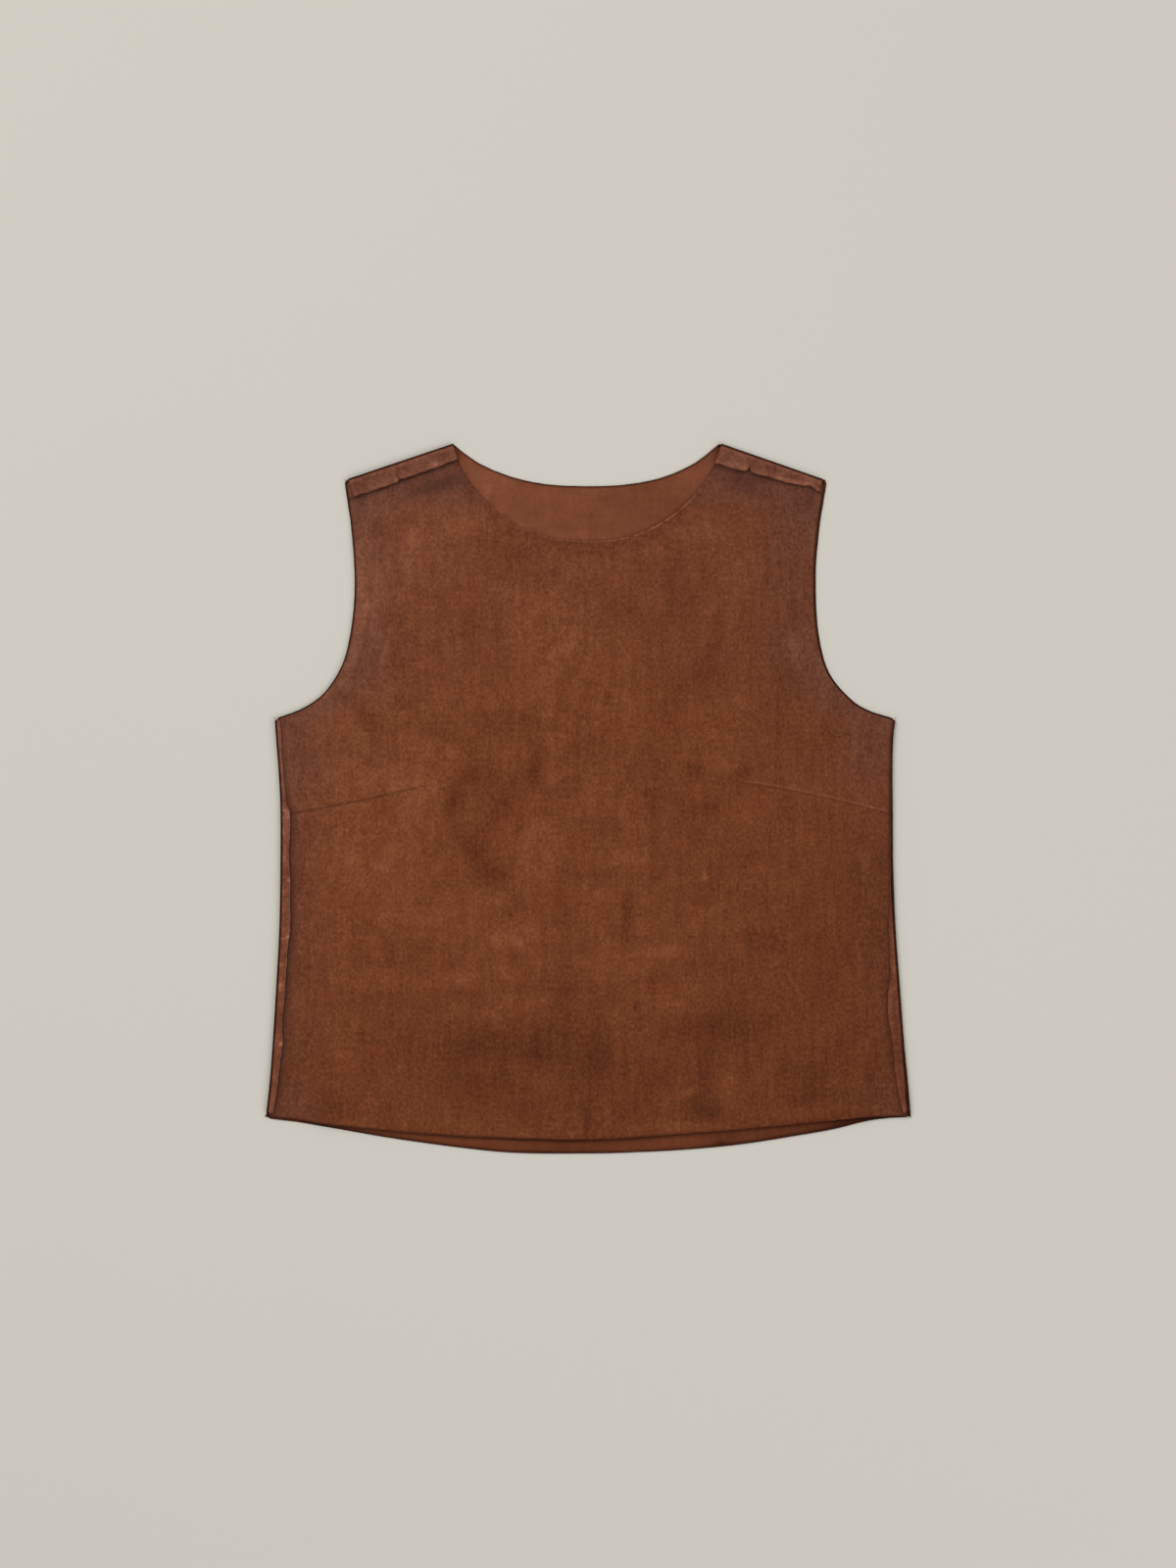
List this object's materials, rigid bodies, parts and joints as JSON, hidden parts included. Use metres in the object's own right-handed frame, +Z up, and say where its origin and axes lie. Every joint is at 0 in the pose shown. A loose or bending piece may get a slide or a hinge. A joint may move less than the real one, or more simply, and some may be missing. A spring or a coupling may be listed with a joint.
{
  "type": "leather vest",
  "caption": "Sleeveless suede leather vest with a scooped neck, bust darts and raw seam allowances turned outwards, laid flat with its front up.",
  "frame": {"origin": "on the floor, at the middle of the garment's footprint", "axes": "+X to the right as seen from above, +Y from the hem to the neck, +Z up from the floor"},
  "size_m": [0.5066, 0.5578, 0.0052],
  "materials": {
    "front_suede": "brushed suede, matt, with a mottled nap",
    "back_suede": "smoother inner side of the suede, matt",
    "turned_suede": "smoother inner side of the suede, matt, with raw edges"
  },
  "bodies": {
    "root": {"back_panel": "back_suede", "front_panel": "front_suede", "shoulder_allowance_left": "turned_suede", "shoulder_allowance_right": "turned_suede", "side_allowance_left": "turned_suede", "side_allowance_right": "turned_suede"}
  },
  "joints": []
}
